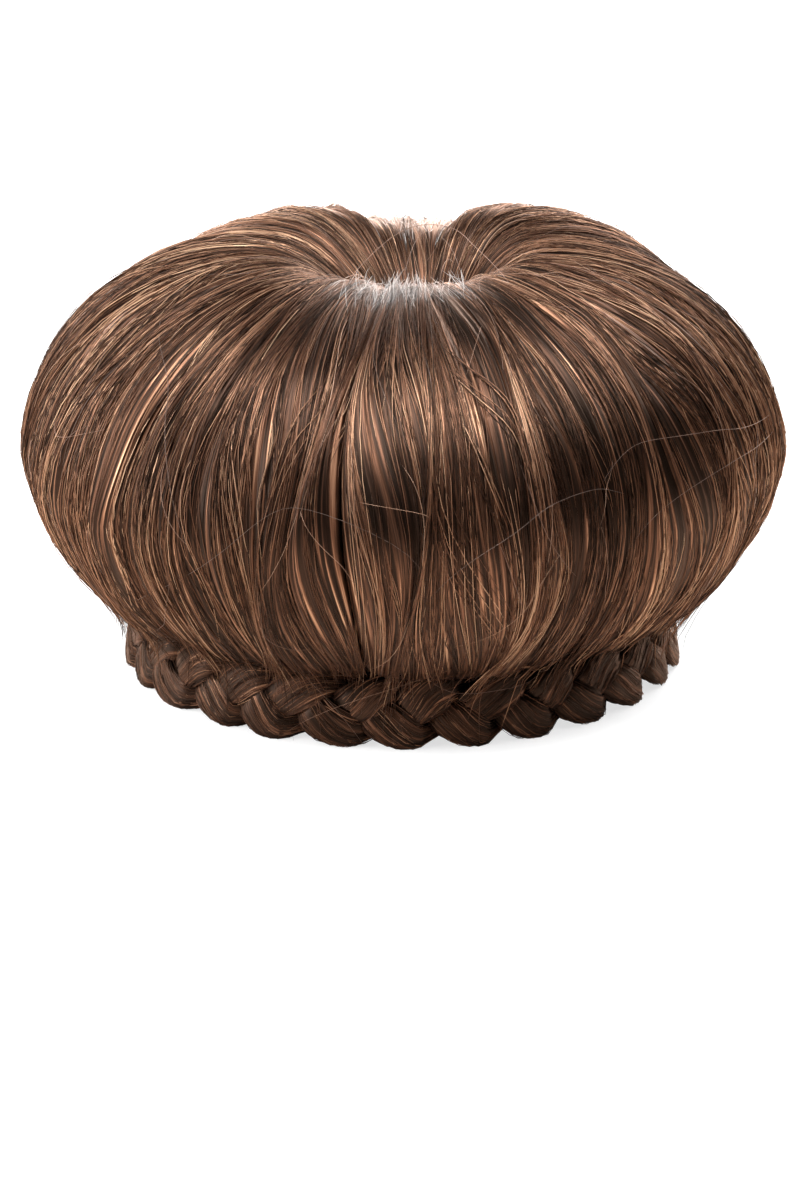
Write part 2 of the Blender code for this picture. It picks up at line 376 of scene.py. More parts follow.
lockEdges = cutEdges(combing["lockWidth"], combing["lockUnevenness"])
tressEdges = cutEdges(combing["tressWidth"], combing["tressUnevenness"])
lockHeights = rng.uniform(*combing["lockRise"], len(lockEdges))
lockTones = rng.normal(0, combing["lockTone"], len(lockEdges))
tressTones = rng.normal(0, combing["tressTone"], len(tressEdges))
knotCount = int(bunRun / combing["knotSpacing"]) + 4
tressKnots = rng.uniform(-1, 1, (len(tressEdges), knotCount))
lockKnots = rng.uniform(-1, 1, (len(lockEdges), knotCount))
# Turns round the bun, waves along the hair and start of each bending wave
bendWaves = [(rng.integers(4, 30), rng.uniform(0.4, 2.2), rng.uniform(0, 2 * np.pi)) for _ in range(10)]


def waveSum(waves, label, run):
    # a sum of plain waves round the bun and along the hair
    total = 0.0
    for turns, along, start in waves:
        total = total + np.sin(np.radians(label) * turns + run / bunRun * 2 * np.pi * along + start)
    return total / math.sqrt(len(waves) / 2)


def combed(label, run):
    # the azimuth of a hair: its label bent by slow waves, which fade out at the partings
    _, share = sectionShare(label)
    freedom = 1 - np.abs(2 * share - 1) ** combing["bendFade"]
    return label + combing["bend"] * freedom * waveSum(bendWaves, label, run)


def crowned(label, edges, roundness):
    # between two edges the hair is crowned as 1 - |2 u - 1| to the power of its roundness
    turned = turnedInto(label)
    index = (np.searchsorted(edges, turned, "right") - 1).clip(0, len(edges) - 2)
    share = (turned - edges[index]) / (edges[index + 1] - edges[index])
    return 1 - np.abs(2 * share - 1) ** roundness, index


def knotValue(knots, index, run, spacing):
    # random heights at even knots, joined smoothly along the hair
    place = np.clip(run / spacing, 0, knots.shape[1] - 2)
    knot = place.astype(int)
    part = smoothShare(place - knot)
    return knots[index, knot] * (1 - part) + knots[index, knot + 1] * part


def reliefAt(label, run):
    # crowned locks with crowned tresses on them, each rising and sinking on its own; the relief is
    # calmer towards the dimple and the hem and where the bun is narrow
    label, run = np.broadcast_arrays(label, run)
    radius = np.interp(run, evenRun, evenRadius)
    overHem = smoothShare((bunRun - run) / combing["calmHem"])
    calm = smoothShare(run / combing["calmTop"]) * (combing["hemCalm"] + (1 - combing["hemCalm"]) * overHem)
    lockCrown, lock = crowned(label, lockEdges, combing["lockRoundness"])
    tressCrown, tress = crowned(label, tressEdges, combing["tressRoundness"])
    lockWave = knotValue(lockKnots, lock, run, combing["knotSpacing"])
    tressWave = knotValue(tressKnots, tress, run, combing["knotSpacing"])
    height = combing["lockDepth"] * (lockCrown - 1) + lockHeights[lock] * lockCrown
    height = height - combing["sunk"] + combing["lockWaviness"] * lockWave * lockCrown
    height = height + combing["tressDepth"] * (tressCrown - 1)
    height = height + combing["tressWaviness"] * tressWave * tressCrown
    return height * calm * np.minimum(1, radius / combing["calmRadius"])


def toneAt(label):
    # how light the hair is from place to place, by its lock and tress
    _, lock = crowned(label, lockEdges, combing["lockRoundness"])
    _, tress = crowned(label, tressEdges, combing["tressRoundness"])
    return lockTones[lock] + tressTones[tress]


def hairPoint(label, run, lift):
    # a point this far above the combed hair
    return bunPoint(combed(label, run), run, reliefAt(label, run) + lift)


# Mesh helpers


noTriangles = np.zeros((0, 3), int)


def makePiece(name, points, quads, material, triangles=noTriangles):
    # puts whole arrays of points and faces into a smooth mesh that rides on the bun
    mesh = bpy.data.meshes.new(name)
    mesh.vertices.add(points.size // 3)
    mesh.vertices.foreach_set("co", np.asarray(points, np.float32).ravel())
    corners = np.concatenate([quads.ravel(), triangles.ravel()]).astype(np.int32)
    mesh.loops.add(len(corners))
    mesh.loops.foreach_set("vertex_index", corners)
    quadStarts = np.arange(len(quads)) * 4
    triangleStarts = len(quads) * 4 + np.arange(len(triangles)) * 3
    mesh.polygons.add(len(quads) + len(triangles))
    mesh.polygons.foreach_set("loop_start", np.concatenate([quadStarts, triangleStarts]).astype(np.int32))
    mesh.update(calc_edges=True)
    mesh.shade_smooth()
    mesh.materials.append(material)
    piece = newObject(name, mesh)
    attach(piece, "root")
    return piece


def addFloats(piece, name, values):
    layer = piece.data.attributes.new(name, "FLOAT", "POINT")
    layer.data.foreach_set("value", np.asarray(values, np.float32).ravel())


def addVectors(piece, name, values):
    layer = piece.data.attributes.new(name, "FLOAT_VECTOR", "POINT")
    layer.data.foreach_set("vector", np.asarray(values, np.float32).ravel())


def addMap(piece, corners):
    # a map, one pair of numbers for each face corner
    layer = piece.data.uv_layers.new(name="OFBake")
    layer.data.foreach_set("uv", np.asarray(corners, np.float32).ravel())


def pairUp(*corners):
    # the u and v of each face's corners in turn, as one list of pairs
    return np.stack([np.stack(np.broadcast_arrays(u, v), -1) for u, v in corners], -2).reshape(-1, 2)


def makeGridPiece(name, points, material, closedAlong=False):
    # the faces of a grid, each of whose rows closes round; they lie flat over the whole map
    rows, columns = points.shape[:2]
    row = np.arange(rows if closedAlong else rows - 1)[:, None]
    column = np.arange(columns)[None, :]
    here, after, beside = row * columns, (row + 1) % rows * columns, (column + 1) % columns
    quads = np.stack([here + column, after + column, after + beside, here + beside], -1).reshape(-1, 4)
    piece = makePiece(name, points, quads, material)
    left, low = column / columns, row / rows
    right, high = left + 1 / columns, low + 1 / rows
    addMap(piece, pairUp((left, low), (left, high), (right, high), (right, low)) * 0.996 + 0.002)
    return piece


def makeStrands(name, paths, outward, halfWidth, tones, sheens, material, sides=3):
    # each strand is a thin tube along its path: corners stand round the path square to it, at
    # 90 degrees plus even turns from the outward side, and both ends close in a point
    count, length, _ = paths.shape
    along = np.gradient(paths, axis=1)
    along /= np.linalg.norm(along, axis=2, keepdims=True) + 1e-12
    side = np.cross(along, outward)
    side /= np.linalg.norm(side, axis=2, keepdims=True) + 1e-12
    up = np.cross(side, along)
    turn = np.pi / 2 + 2 * np.pi * np.arange(sides)[:, None] / sides
    spoke = np.cos(turn) * side[:, 1:-1, None] + np.sin(turn) * up[:, 1:-1, None]
    rings = length - 2
    tube = paths[:, 1:-1, None] + spoke * halfWidth[:, 1:-1, None, None]
    points = np.concatenate([tube.reshape(count, rings * sides, 3), paths[:, :1], paths[:, -1:]], 1)
    base = np.arange(count)[:, None, None] * (rings * sides + 2)
    here = np.arange(sides)[None, None, :]
    beside = (here + 1) % sides
    low = base + np.arange(rings - 1)[None, :, None] * sides
    quads = np.stack([low + here, low + sides + here, low + sides + beside, low + beside], -1)
    base, here, beside = base[:, 0], here[0], beside[0]
    last = base + (rings - 1) * sides
    rootTip, endTip = (np.broadcast_to(base + rings * sides + tip, (count, sides)) for tip in (0, 1))
    roots = np.stack([rootTip, base + here, base + beside], -1)
    ends = np.stack([endTip, last + beside, last + here], -1)
    triangles = np.concatenate([roots.reshape(-1, 3), ends.reshape(-1, 3)])
    piece = makePiece(name, points, quads.reshape(-1, 4), material, triangles)
    # each strand has its own column of the map
    columnStart = (np.arange(count)[:, None, None] + 0.1) / count
    left = columnStart + 0.8 / count * np.arange(sides)[None, None, :] / sides
    right = left + 0.8 / count / sides
    low = (np.arange(rings - 1)[None, :, None] + 1) / (length - 1)
    high = low + 1 / (length - 1)
    quadMap = pairUp((left, low), (left, high), (right, high), (right, low))
    left, right = left[:, 0], right[:, 0]
    middle, first, last = (left + right) / 2, 1 / (length - 1), (length - 2) / (length - 1)
    rootMap = pairUp((middle, 0.0), (left, first), (right, first))
    endMap = pairUp((middle, 1.0), (right, last), (left, last))
    addMap(piece, np.concatenate([quadMap, rootMap, endMap]))
    for label, values in (("tone", tones), ("sheen", sheens)):
        values = np.broadcast_to(values, (count, length))
        rows = [values[:, 1:-1].repeat(sides, 1), values[:, :1], values[:, -1:]]
        addFloats(piece, label, np.concatenate(rows, 1))
    return piece


# Finishes

hairColours = (  # linear colours from the darkest hair to the lightest
    (0.00, (0.0030, 0.0016, 0.0010)),
    (0.30, (0.0130, 0.0062, 0.0040)),
    (0.50, (0.0420, 0.0190, 0.0110)),
    (0.68, (0.1150, 0.0530, 0.0310)),
    (0.84, (0.2500, 0.1330, 0.0790)),
    (1.00, (0.4100, 0.2600, 0.1650)),
)
# the grey of the painted sheen, mixed into the hair where it would show a grazing reflection
paintedSheenColour = (0.46, 0.47, 0.47, 1.0)
glossTint = (1.0, 0.66, 0.50, 1.0)
hairRoughness = {"From Min": 0.25, "From Max": 0.75, "To Min": 0.43, "To Max": 0.29}


def addRamp(tree, stops):
    # a colour ramp through these places and colours
    ramp = addNode(tree, "ValToRGB")
    elements = ramp.color_ramp.elements
    while len(elements) < len(stops):
        elements.new(1.0)
    for element, (place, colour) in zip(elements, stops):
        element.position = place
        element.color = (*colour, 1.0)
    return ramp


def addBump(tree, source, output, distance, shader):
    # tilts the normals as if the surface rose by the source's value times this distance in metres
    bump = addNode(tree, "Bump", inputs={"Strength": 1.0, "Distance": distance})
    join(source, output, bump, "Height")
    join(bump, "Normal", shader, "Normal")


def makeHairGroup():
    # the lay, stretched by the fineness, gives fine streaks; they shift the tone, the shifted tone and the
    # painted sheen (a grey mixed in) give the colour, and the streaks also give a height and a roughness
    group = bpy.data.node_groups.new("hairTones", "ShaderNodeTree")
    inputs = {"Tone": "Float", "Sheen": "Float", "Lay": "Vector", "Fineness": "Vector", "Streak": "Float"}
    outputs = {"Colour": "Color", "Height": "Float", "Roughness": "Float"}
    for side, sockets in (("INPUT", inputs), ("OUTPUT", outputs)):
        for name, kind in sockets.items():
            group.interface.new_socket(name, in_out=side, socket_type="NodeSocket" + kind)
    given, made = group.nodes.new("NodeGroupInput"), group.nodes.new("NodeGroupOutput")
    scaled = addNode(group, "VectorMath", {"operation": "MULTIPLY"})
    join(given, "Lay", scaled, 0)
    join(given, "Fineness", scaled, 1)
    streaks = addNode(group, "TexNoise", inputs={"Scale": 1.0, "Detail": 2.0, "Roughness": 0.6})
    join(scaled, 0, streaks, "Vector")
    centred = addNode(group, "Math", {"operation": "SUBTRACT"}, {1: 0.5})
    join(streaks, "Fac", centred, 0)
    moved = addNode(group, "Math", {"operation": "MULTIPLY_ADD"})
    join(centred, 0, moved, 0)
    join(given, "Streak", moved, 1)
    join(given, "Tone", moved, 2)
    ramp = addRamp(group, hairColours)
    join(moved, 0, ramp, "Fac")
    # mixes the painted sheen's grey into the hair colour
    mix = addNode(group, "Mix", {"data_type": "RGBA"}, {7: paintedSheenColour})
    join(given, "Sheen", mix, "Factor")
    join(ramp, "Color", mix, 6)
    join(mix, 2, made, "Colour")
    join(streaks, "Fac", made, "Height")
    gloss = addNode(group, "MapRange", inputs=hairRoughness)
    join(streaks, "Fac", gloss, "Value")
    join(gloss, "Result", made, "Roughness")
    return group


hairGroup = makeHairGroup()
hairFinishes = {
    # Fineness is in streaks to the millimetre, round the bun, along the hair and out of it, where the
    # hair has a lay of its own, and otherwise in streaks to the whole of its map
    "laidHair": {
        "lay": True,
        "fineness": (2.1, 0.03, 1.0),
        "streak": 2.4,
        "bump": 0.00020,
        "specular": 0.25,
        "colouredGloss": 0.5,
    },
    "looseHair": {
        "lay": False,
        "fineness": (900.0, 5.0, 1.0),
        "streak": 0.22,
        "bump": 0.0,
        "specular": 0.4,
        "colouredGloss": 0.46,
    },
    "plaitHair": {
        "lay": True,
        "fineness": (4.2, 0.05, 1.0),
        "streak": 1.6,
        "bump": 0.00014,
        "specular": 0.3,
        "colouredGloss": 0.45,
    },
}


def makeHairFinish(name, finish):
    # the shared group's colour and roughness in a shader whose gloss is tinted like the hair
    values = {
        "IOR": 1.55,
        "Specular IOR Level": finish["specular"],
        "Specular Tint": glossTint,
        "Metallic": finish["colouredGloss"],
    }
    material, tree, shader = newMaterial(name, values)
    inputs = {"Fineness": finish["fineness"], "Streak": finish["streak"]}
    group = addNode(tree, "Group", {"node_tree": hairGroup}, inputs)
    for channel in ("tone", "sheen"):
        layer = addNode(tree, "Attribute", {"attribute_name": channel})
        join(layer, "Fac", group, channel.capitalize())
    if finish["lay"]:
        join(addNode(tree, "Attribute", {"attribute_name": "lay"}), "Vector", group, "Lay")
    else:
        join(addNode(tree, "UVMap", {"uv_map": "OFBake"}), "UV", group, "Lay")
    join(group, "Colour", shader, "Base Color")
    join(group, "Roughness", shader, "Roughness")
    if finish["bump"]:
        addBump(tree, group, "Height", finish["bump"], shader)
    return material


laidHair, looseHair, plaitHair = (makeHairFinish(name, finish) for name, finish in hairFinishes.items())
print("finishes ready")


# The laid hair: one closed sheet with real ridges for each section

laid = {
    "columnWidth": 0.27,
    "rows": 52,
    "innerColumns": 5,
    "ridge": 0.20,
    "ridgeKnots": 16.0,
    "ridgeRadius": 20.0,  # the ridges fade where the bun is narrower
    "padDepth": 9.0,  # how far the sheet's hidden inner side lies under its outer one
    "leastDepth": 0.6,
    "thinning": (18.0, 10.0, 0.2),  # over this length at the hem and at the dimple, and the share left there
    "raggedness": (1.2, 6.0),  # how far the locks end before the hem
    "tressRaggedness": 1.7,
    "roundedEnds": (1.4, 0.8),  # of a lock and of a tress
    "leastCut": 0.2,
    # darker than the loose strands: partly the laid hair's own colour, partly painted shade in the gaps
    # between strands
    "tone": 0.37,
    "toneSpread": 0.20,
    "paintedSheenShare": 0.05,
    "streakShift": 7.0,  # between the streaks of one section and the next
}
# Painted sheen: grey mixed into the hair where the crest shows a grazing reflection, in front and at the
# back. Of each patch: the azimuth of its middle, its half width in degrees, the run of its middle, its half
# length in millimetres and its strength
paintedSheenPatches = (
    (-1.0, 19.0, crestRun + 1.2, 4.2, 0.9),
    (176.0, 16.0, crestRun + 3.0, 7.0, 0.4),
)
# Painted shade and light: painted shade in front of the crest, beside the partings, low in front and low on
# the right; painted highlights in the bright band in front; a lighter lock on the right, partly painted
# light, with a darker one beside it; and painted light high on both sides of the bun and low on the left
paintedLightAndLockShifts = (
    (0.0, 34.0, 50.0, 9.0, -0.20),
    (35.0, 11.0, 82.0, 15.0, -0.18),
    (50.0, 13.0, 76.0, 11.0, -0.10),
    (18.0, 16.0, 91.0, 8.0, -0.14),
    (-3.0, 11.0, 91.0, 6.0, -0.12),
    (-1.0, 19.0, crestRun + 3.0, 5.0, -0.12),
    (16.0, 16.0, 70.0, 8.0, 0.10),
    (-14.0, 6.0, 80.0, 5.0, 0.08),
    (55.0, 9.0, 54.0, 12.0, 0.13),
    (39.0, 5.0, 60.0, 6.0, -0.08),
    (-80.0, 14.0, 66.0, 12.0, 0.10),
    (-105.0, 50.0, 42.0, 15.0, 0.10),
    (100.0, 45.0, 42.0, 15.0, 0.08),
    (-45.0, 16.0, 96.0, 14.0, 0.04),
)
# painted shade: the hair darkens towards the hem, where it turns under
hemPaintedShade = {"reach": 15.0, "strength": 0.24}


def degreesOff(azimuth, middle):
    # how far an azimuth lies from the middle, the shorter way round
    return (azimuth - middle + 180) % 360 - 180


def patchSum(patches, azimuth, run):
    # a bell curve round the bun and along the hair for each patch
    total = 0.0
    for middle, wide, place, long, strength in patches:
        bell = near(degreesOff(azimuth, middle), 0.0, wide) * near(run, place, long)
        total = total + strength * bell
    return total


def paintedLightAndLockShiftAt(azimuth, run):
    # the patches of painted light and shade and of lighter and darker locks, less a painted shade that grows
    # to its full strength at the hem
    hem = smoothShare((run - bunRun + hemPaintedShade["reach"]) / hemPaintedShade["reach"])
    return patchSum(paintedLightAndLockShifts, azimuth, run) - hemPaintedShade["strength"] * hem


lockCuts = rng.uniform(*laid["raggedness"], len(lockEdges))
tressCuts = rng.uniform(-laid["tressRaggedness"], laid["tressRaggedness"], len(tressEdges))


def raggedRun(label, share):
    # each lock and tress ends at its own distance before the hem, with rounded ends
    lockCrown, lock = crowned(label, lockEdges, combing["lockRoundness"])
    tressCrown, tress = crowned(label, tressEdges, combing["tressRoundness"])
    lockEnd, tressEnd = laid["roundedEnds"]
    cut = lockCuts[lock] + tressCuts[tress] + lockEnd * (1 - lockCrown) + tressEnd * (1 - tressCrown)
    return share * (bunRun - cut.clip(laid["leastCut"]))


def makeLaidSection(index):
    # rings from the dimple to the hem; each runs across the combed outer side and back under it, and
    # the two ends close on the line midway between
    start, end = sectionStarts[index], sectionEnds[index]
    seeded = np.random.default_rng(100 + index)
    columns = round((end - start) * math.pi / 180 * bun["widestRadius"] / laid["columnWidth"])
    along = np.linspace(0, 1, laid["rows"])[:, None]
    radius = np.interp(along * bunRun, evenRun, evenRadius)
    inset = np.degrees(bun["gap"] / 2 / radius)
    across = np.concatenate([np.linspace(0, 1, columns), np.linspace(1, 0, laid["innerColumns"])])[None, :]
    label = start + inset + (end - start - 2 * inset) * across
    run = raggedRun(label, along)
    ridgeKnots = seeded.uniform(-1, 1, (columns, int(bunRun / laid["ridgeKnots"]) + 3))
    ridges = knotValue(ridgeKnots, np.arange(columns)[None, :], run[:, :columns], laid["ridgeKnots"])
    ridges = laid["ridge"] * ridges * smoothShare(radius / laid["ridgeRadius"])
    outer = hairPoint(label[:, :columns], run[:, :columns], ridges)
    hemLength, dimpleLength, left = laid["thinning"]
    thickness = smoothShare((1 - along) * bunRun / hemLength)
    fromDimple = smoothShare(along * bunRun / dimpleLength + left)
    depth = -laid["padDepth"] * thickness * fromDimple - laid["leastDepth"]
    inner = bunPoint(label[:, columns:], run[:, columns:], depth)
    first = bunPoint(label[:1], run[:1], depth[0] / 2)
    last = bunPoint(label[-1:], run[-1:], depth[-1] / 2)
    points = np.concatenate([first, np.concatenate([outer, inner], 1), last])
    piece = makeGridPiece(sectionNodes[index] + "_laid", points, laidHair)
    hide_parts(sectionNodes[index])
    tone = np.full(points.shape[:2], laid["tone"])
    middle = label[laid["rows"] // 2, :columns]
    tone[:, :columns] += seeded.normal(0, laid["toneSpread"], columns) + toneAt(middle)
    # painted light and shade patches, with painted shade towards the hem
    tone[1:-1] += paintedLightAndLockShiftAt(label, run)
    addFloats(piece, "tone", tone)
    # painted sheen on the crest patches, a grey mixed into the laid hair
    sheen = np.zeros(points.shape[:2])
    sheen[1:-1, :columns] = patchSum(paintedSheenPatches, label, run)[:, :columns] * laid["paintedSheenShare"]
    addFloats(piece, "sheen", sheen)
    lay = np.zeros(points.shape)
    lay[1:-1, :, 0] = np.radians(label) * bun["widestRadius"]
    lay[1:-1, :, 1] = run
    lay[..., 2] = index * laid["streakShift"]
    addVectors(piece, "lay", lay)


for index in range(len(sections)):
    makeLaidSection(index)
print("laid hair ready:", len(sections), "sections")


# Loose strands over the laid hair, in wisps that share a path

strands = {
    "wispsPerDegree": 1.95,
    "perWisp": 10,
    "frontShare": 1.2,  # the side in the photograph has this many times as many
    "backShare": 0.75,
    "points": 11,
    "crossing": 0.24,  # this share of the wisps lies over the others at an angle
    "tilt": (0.8, 2.4),  # degrees that a plain and a crossing wisp lean over their length
    "sway": 0.5,
    "swayWaves": (3, 8),
    "high": (0.4, 7, 46),  # the share of wisps that start between these runs
    "low": (30, 100),  # where the others start
    "length": (30, 80),
    "crossingLength": 0.75,
    "wispWidth": (0.25, 1.5),  # degrees either side of a wisp's middle
    "opening": 0.5,
    "wispHeight": 0.22,
    "crossingHeight": 0.18,
    "wispTone": 0.07,
    "startSpread": 3.5,
    "earliest": 6,
    "hemCut": 9,
    "shortened": (0.75, 1.1),
    "shortest": 14,
    "placeSpread": 0.55,
    "leanSpread": 0.45,
    "narrowRadius": 60,  # on a narrower ring the wisps draw together
    "overlap": 2.6,  # degrees that a strand may lie over the next section
    "stray": 0.04,
    "strayLift": (0.2, 0.8),
    "lift": (0.02, 0.42),
    "liftPower": 1.6,
    "ripple": 0.08,
    "rippleWaves": (5, 14),
    "sunk": 0.15,
    "halfWidth": (0.05, 0.105),
    "thinRadius": 45,  # on a narrower ring the strands get thinner
    "thinnest": 0.4,
    "labelTone": 0.8,
    # the largest share of painted sheen that a strand takes on the sheen patches
    "sheen": 0.55,
}
strandTones = ((0.38, 0.32), (0.38, 0.63), (0.24, 0.84))  # the share of strands about each tone
toneSpread = 0.075


def drawTones(seeded, shape, shift=0.0):
    # dark, copper and caramel strands by their shares, each with a spread of its own
    kind = seeded.uniform(0, 1, shape)
    tone = seeded.normal(0, toneSpread, shape)
    passed = 0.0
    for share, middle in strandTones:
        tone += np.where((kind >= passed) & (kind < passed + share), middle, 0.0)
        passed += share
    return np.clip(tone + shift, 0.04, 1.0)


def tapered(along, root=0.15):
    # 1 in the middle of a strand, thinning to its two ends
    return root + (1 - root) * np.sin(np.pi * along).clip(0) ** 0.4


def makeSectionStrands(index):
    # a wisp follows the combing from a random start, leans and sways; its strands keep a place
    # across it, float a little above the laid hair and sink into it at both ends
    start, end = sectionStarts[index], sectionEnds[index]
    seeded = np.random.default_rng(200 + index)
    front = (1 + math.cos(math.radians((start + end) / 2))) / 2
    facing = strands["backShare"] + (strands["frontShare"] - strands["backShare"]) * front
    wisps = round((end - start) * strands["wispsPerDegree"] * facing)
    wisp = np.repeat(np.arange(wisps), strands["perWisp"])
    each, eachWisp = (len(wisp), 1), (wisps, 1)
    along = np.linspace(0, 1, strands["points"])[None, :]
    centred = 2 * along - 1
    crosses = seeded.uniform(0, 1, eachWisp) < strands["crossing"]
    plainTilt, crossingTilt = strands["tilt"]
    tilt = seeded.normal(0, 1, eachWisp) * np.where(crosses, crossingTilt, plainTilt)
    sway = seeded.normal(0, strands["sway"], eachWisp)
    swayWaves, swayStart = seeded.uniform(*strands["swayWaves"], eachWisp), seeded.uniform(0, 6, eachWisp)
    share, *high = strands["high"]
    isHigh = seeded.uniform(0, 1, eachWisp) < share
    top = np.where(isHigh, seeded.uniform(*high, eachWisp), seeded.uniform(*strands["low"], eachWisp))
    length = seeded.uniform(*strands["length"], eachWisp) * np.where(crosses, strands["crossingLength"], 1.0)
    width = seeded.uniform(*strands["wispWidth"], eachWisp)
    opening = seeded.uniform(-strands["opening"], strands["opening"], eachWisp)
    height = seeded.uniform(0, strands["wispHeight"], eachWisp) + strands["crossingHeight"] * crosses
    shade = seeded.normal(0, strands["wispTone"], eachWisp)
    first = (top[wisp] + seeded.normal(0, strands["startSpread"], each)).clip(strands["earliest"])
    cut = seeded.uniform(0, 1, each) ** 2 * strands["hemCut"]
    last = np.minimum(first + length[wisp] * seeded.uniform(*strands["shortened"], each), bunRun - cut)
    first = np.minimum(first, last - strands["shortest"])
    run = first + (last - first) * along
    radius = np.interp(run, evenRun, evenRadius)
    place = seeded.normal(0, strands["placeSpread"], each) * width[wisp] * (1 + opening[wisp] * centred)
    place = place + tilt[wisp] * centred
    place = place + sway[wisp] * np.sin(along * swayWaves[wisp] + swayStart[wisp])
    place = place + seeded.normal(0, strands["leanSpread"], each) * centred
    middle = seeded.uniform(start, end, eachWisp)[wisp]
    label = middle + place * np.minimum(1, strands["narrowRadius"] / radius)
    label = np.clip(label, start - strands["overlap"], end + strands["overlap"])
    low, high = strands["lift"]
    stray = seeded.uniform(0, 1, each) < strands["stray"]
    lift = low + (high - low) * seeded.uniform(0, 1, each) ** strands["liftPower"] + height[wisp]
    lift = lift + stray * seeded.uniform(*strands["strayLift"], each)
    ripple = seeded.normal(0, strands["ripple"], each)
    ripple = ripple * np.sin(along * seeded.uniform(*strands["rippleWaves"], each))
    sink = np.sin(np.pi * along).clip(0)
    lift = (lift + ripple) * sink**0.35 - strands["sunk"] * (1 - sink**0.5)
    paths = hairPoint(label, run, lift)
    halfWidth = seeded.uniform(*strands["halfWidth"], each) * tapered(along)
    halfWidth = halfWidth * np.clip(radius / strands["thinRadius"], strands["thinnest"], 1) * mm
    ownTone = toneAt(label[:, 5:6]) * strands["labelTone"] + shade[wisp]
    # each strand's drawn tone plus the painted light and shade patches and the painted shade at the hem
    tones = drawTones(seeded, each, ownTone) + paintedLightAndLockShiftAt(label, run)
    # painted sheen on the patches, a random share for each strand
    sheens = patchSum(paintedSheenPatches, label, run) * seeded.uniform(0.0, strands["sheen"], each)
    name = sectionNodes[index] + "_strands"
    makeStrands(name, paths, bunOut(label, run), halfWidth, tones, sheens, looseHair)


for index in range(len(sections)):
    makeSectionStrands(index)
print("loose strands ready")


# The plait round the foot

plait = {
    "ringRadius": 47.6,
    "height": 12.6,
    "periods": 9,
    "swing": 3.1,
    "weave": 1.85,
    "fullTurns": 0.4,  # a strand stays this much further out where it turns at the edges
    "weaveSteepness": 1.3,  # a strand changes sides this much faster than a plain wave
    "flattened": (1.7, 1.3),  # what stands out past the first is squeezed into the second
    "width": 6.9,  # of a strand where it lies on top
    "hiddenWidth": 4.6,  # and where it passes underneath
    "thickness": 4.7,
    "hiddenThickness": 3.6,
    "flare": (1.9, -0.6),  # how far out its foot and its top lean
    "slant": 0.55,  # how far the hairs turn round their strand while it lies on top
    "fullness": 2.1,
    "unevenness": 0.15,  # how far a strand's swing and width wander, as a share
    "ringsPerPeriod": 34,
    "sides": 34,
    "clearance": 0.02,  # over the floor
    "raised": 0.8,
    "layRadius": 2.6,
    "layShift": 3,
    "groove": 0.20,
    "grooveKnots": 9.0,
    "tone": 0.27,
    "toneSpread": 0.15,
    # shade is a painted shade on the plait right of the front
    "shade": (40.0, 26.0, 0.14),  # azimuth, half width in degrees and strength
}


def plaitPoint(turn, around, phase, lift):
    # the strand's middle swings up and down once a period and in and out twice, with steepened waves
    # that keep it further out where it turns at the edges; round it stands a superellipse, square to
    # the way the strand runs, plus lift, widest where the strand lies on top; around turns to and fro
    # once a period, so that hairs slant across the strand; what stands out far is squeezed flat, and
    # the whole ring flares towards its foot
    waves = np.sin(4 * turn + 5 * phase) + np.sin(11 * turn + 3 * phase) + np.sin(17 * turn + phase)
    uneven = plait["unevenness"] * waves / 2
    angle = plait["periods"] * turn + phase + uneven
    turnedOut = np.sin(2 * angle) + plait["fullTurns"] * np.sin(angle) ** 2
    inOut = np.tanh(plait["weaveSteepness"] * turnedOut) / math.tanh(plait["weaveSteepness"])
    onTop = (1 + inOut) / 2
    ring = plait["ringRadius"]
    height = plait["height"] / 2 + plait["swing"] * np.sin(angle) * (1 + uneven / 2)
    slope = np.arctan2(plait["swing"] * plait["periods"] * np.cos(angle), ring)
    halfWidth = (plait["hiddenWidth"] + (plait["width"] - plait["hiddenWidth"]) * onTop) / 2
    halfThickness = (plait["hiddenThickness"] + (plait["thickness"] - plait["hiddenThickness"]) * onTop) / 2
    halfThickness = halfThickness * (1 + uneven)
    turned = around + plait["slant"] * (np.sin(angle) - np.cos(angle))
    across, upward = np.cos(turned), np.sin(turned)
    power = 2 / plait["fullness"]
    out = (halfThickness + lift) * np.sign(across) * np.abs(across) ** power
    up = (halfWidth + lift) * np.sign(upward) * np.abs(upward) ** power
    rise = height + up * np.cos(slope)
    stand = plait["weave"] * inOut + out
    start, squeeze = plait["flattened"]
    stand = np.where(stand > start, start + squeeze * np.tanh((stand - start) / squeeze), stand)
    footFlare, topFlare = plait["flare"]
    radius = ring + footFlare + (topFlare - footFlare) * (rise / plait["height"]) + stand
    point = turnedPoint(radius, turn - up * np.sin(slope) / ring, rise)
    point[..., 2] = np.maximum(point[..., 2], plait["clearance"])
    return point * mm


def plaitPaintedShade(turn):
    # painted shade: a bell curve round the ring, darkest right of the front, on the side away from the light
    azimuth, wide, strength = plait["shade"]
    return strength * near(degreesOff(np.degrees(turn), azimuth), 0.0, wide)


